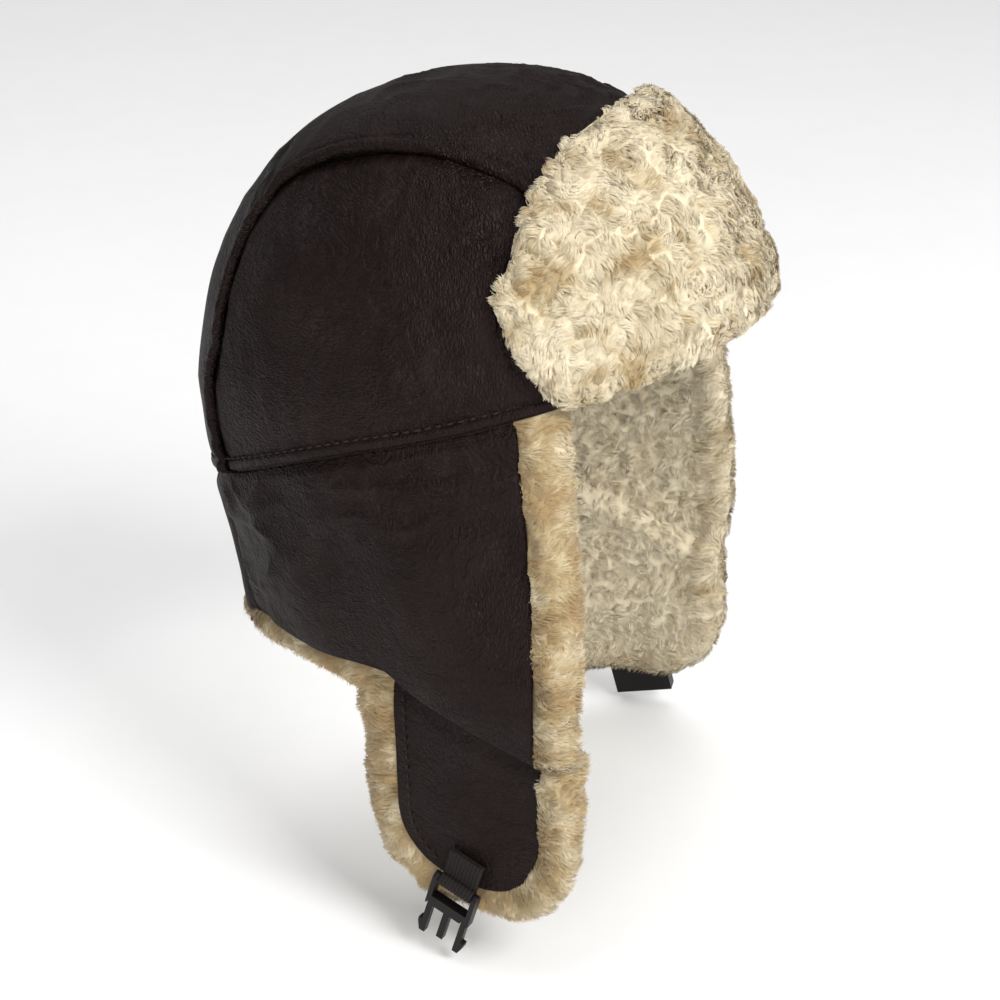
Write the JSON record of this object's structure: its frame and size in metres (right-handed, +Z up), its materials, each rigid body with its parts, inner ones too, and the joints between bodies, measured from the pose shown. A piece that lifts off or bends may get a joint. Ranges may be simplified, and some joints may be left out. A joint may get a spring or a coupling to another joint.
{
  "type": "trapper hat",
  "caption": "Brown sheepskin trapper hat with fur-lined ear flaps that fold up, a turned-up fur visor and a side-release chin buckle.",
  "frame": {"origin": "centre of the head opening, in the plane of the hem", "axes": "Z up as worn, the face looks along -Y, the wearer's right side is -X"},
  "size_m": [0.2357, 0.2441, 0.3485],
  "materials": {
    "leather": "matt nappa with a fine grain",
    "fur": "clipped curly fleece, cream with tan tips",
    "lining": "quilted cloth",
    "thread": "twisted polyester",
    "webbing": "ribbed polypropylene webbing",
    "buckle": "satin moulded acetal"
  },
  "bodies": {
    "crown": {"crown_top_panel": "leather", "crown_side_panel_right": "leather", "crown_side_panel_left": "leather", "crown_lining": "lining", "hem_stitches": "thread", "neck_panel": "leather", "neck_fur": "fur"},
    "visor": {"visor_panel": "leather", "visor_fur": "fur"},
    "right_flap": {"right_flap_panel": "leather", "right_flap_fur": "fur", "right_flap_stitches": "thread", "right_webbing": "webbing"},
    "left_flap": {"left_flap_panel": "leather", "left_flap_fur": "fur", "left_flap_stitches": "thread", "left_webbing": "webbing"},
    "male_half": {"male_buckle": "buckle"},
    "front_prong": {"male_prong_front": "buckle"},
    "rear_prong": {"male_prong_rear": "buckle"},
    "female_half": {"female_buckle": "buckle"}
  },
  "joints": [
    {"name": "right_flap_fold", "type": "hinge", "parent": "crown", "child": "right_flap", "pos_m": [-0.0965, 0.00469, 0.01362], "axis": [0, 0.9455, -0.3256], "range_deg": [0, 150]},
    {"name": "left_flap_fold", "type": "hinge", "parent": "crown", "child": "left_flap", "pos_m": [0.0965, 0.00469, 0.01362], "axis": [0, -0.9455, 0.3256], "range_deg": [-9, 141]},
    {"name": "visor_fold", "type": "hinge", "parent": "crown", "child": "visor", "pos_m": [0, -0.10645, 0.05146], "axis": [1, 0, 0], "range_deg": [0, 120]},
    {"name": "male_buckle_swing", "type": "hinge", "parent": "right_flap", "child": "male_half", "pos_m": [-0.09715, -0.02669, -0.17911], "axis": [0.0773, 0.9528, 0.2936], "range_deg": [-3, 140]},
    {"name": "female_buckle_swing", "type": "hinge", "parent": "left_flap", "child": "female_half", "pos_m": [0.12447, -0.00982, -0.17721], "axis": [0.1812, -0.9564, 0.2292], "range_deg": [-3, 140]},
    {"name": "front_prong_flex", "type": "hinge", "parent": "male_half", "child": "front_prong", "pos_m": [-0.09695, -0.03034, -0.1959], "axis": [0.9954, -0.0904, 0.0311], "range_deg": [0, 7], "stiffness_Nm_per_rad": 0.2},
    {"name": "rear_prong_flex", "type": "hinge", "parent": "male_half", "child": "rear_prong", "pos_m": [-0.09565, -0.01434, -0.19097], "axis": [-0.9954, 0.0904, -0.0311], "range_deg": [0, 7], "stiffness_Nm_per_rad": 0.2}
  ]
}
